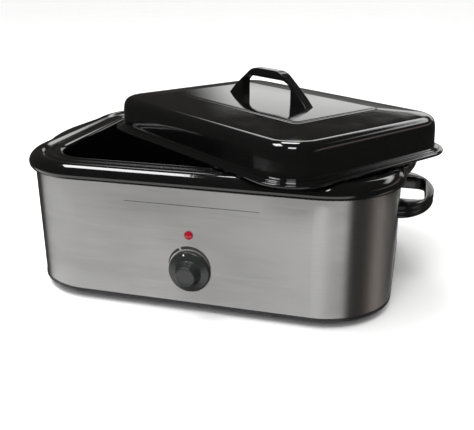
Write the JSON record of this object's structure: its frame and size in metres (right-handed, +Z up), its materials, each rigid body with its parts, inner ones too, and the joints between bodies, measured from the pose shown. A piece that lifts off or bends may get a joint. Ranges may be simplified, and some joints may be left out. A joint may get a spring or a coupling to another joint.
{
  "type": "hot stone heater",
  "caption": "Oblong electric massage stone heater: brushed steel body, lift-out enamelled pan, domed lid lying askew, front knob, indicator lamp and end handles.",
  "frame": {"origin": "centre of the body's footprint on the table, at the height of the feet's undersides", "axes": "+X along the body to the right as seen from the knob's side, +Y from the knob's side to the back, +Z up"},
  "size_m": [0.5878, 0.457, 0.2863],
  "materials": {
    "stainless": "fine horizontal brushed",
    "black_paint": "satin",
    "black_enamel": "high gloss vitreous enamel",
    "aluminised_steel": "matt",
    "glass_fibre": "fibrous",
    "element_sheath": "heat darkened",
    "ceramic": "steatite, unglazed",
    "thermostat_case": "moulded",
    "brass": "satin",
    "copper": "drawn",
    "red_lens": "faceted, translucent",
    "lamp_glass": "clear",
    "wire_sleeve": "braided glass sleeve",
    "moulded_black": "moulded",
    "gloss_black": "polished phenolic",
    "knob_black": "satin moulded",
    "white_inlay": "paint filled",
    "plated_steel": "zinc plated"
  },
  "bodies": {
    "base": {"body_wall": "stainless", "base_plate": "black_paint", "foot_front_left": "moulded_black", "foot_front_right": "moulded_black", "foot_rear_left": "moulded_black", "foot_rear_right": "moulded_black", "foot_screws": "plated_steel", "foot_nut_plates": "plated_steel", "heating_well": "aluminised_steel", "insulation_blanket": "glass_fibre", "heating_element": "element_sheath", "element_clips": "plated_steel", "element_terminals": "ceramic", "thermostat_body": "thermostat_case", "thermostat_bracket": "plated_steel", "bracket_screws": "plated_steel", "thermostat_bush": "brass", "thermostat_nut": "plated_steel", "thermostat_blades": "brass", "sensor_bulb": "copper", "capillary_tube": "copper", "thermal_fuse": "ceramic", "indicator_lens": "red_lens", "indicator_lamp": "lamp_glass", "lamp_retainer": "plated_steel", "terminal_block": "ceramic", "block_screws": "plated_steel", "wiring": "wire_sleeve", "earth_screw": "brass", "cord_bush": "moulded_black", "handle_left": "gloss_black", "handle_right": "gloss_black", "handle_screws": "plated_steel", "handle_plate_left": "plated_steel", "handle_plate_right": "plated_steel"},
    "knob": {"thermostat_shaft": "plated_steel", "knob": "knob_black", "knob_pointer": "white_inlay", "knob_clip": "plated_steel"},
    "pan": {"stone_pan": "black_enamel"},
    "lid": {"lid_shell": "black_enamel", "lid_handle": "gloss_black", "lid_handle_screws": "plated_steel", "lid_handle_washers": "plated_steel"}
  },
  "joints": [
    {"name": "knob_turn", "type": "hinge", "parent": "base", "child": "knob", "pos_m": [0, -0.18375, 0.059], "axis": [0, 1, 0], "range_deg": [0, 285]},
    {"name": "pan_lift", "type": "slide", "parent": "base", "child": "pan", "axis": [0, 0, 1], "range_m": [0, 0.18]},
    {"name": "lid_lift", "type": "slide", "parent": "pan", "child": "lid", "axis": [0, 0, 1], "range_m": [0, 0.2]}
  ]
}
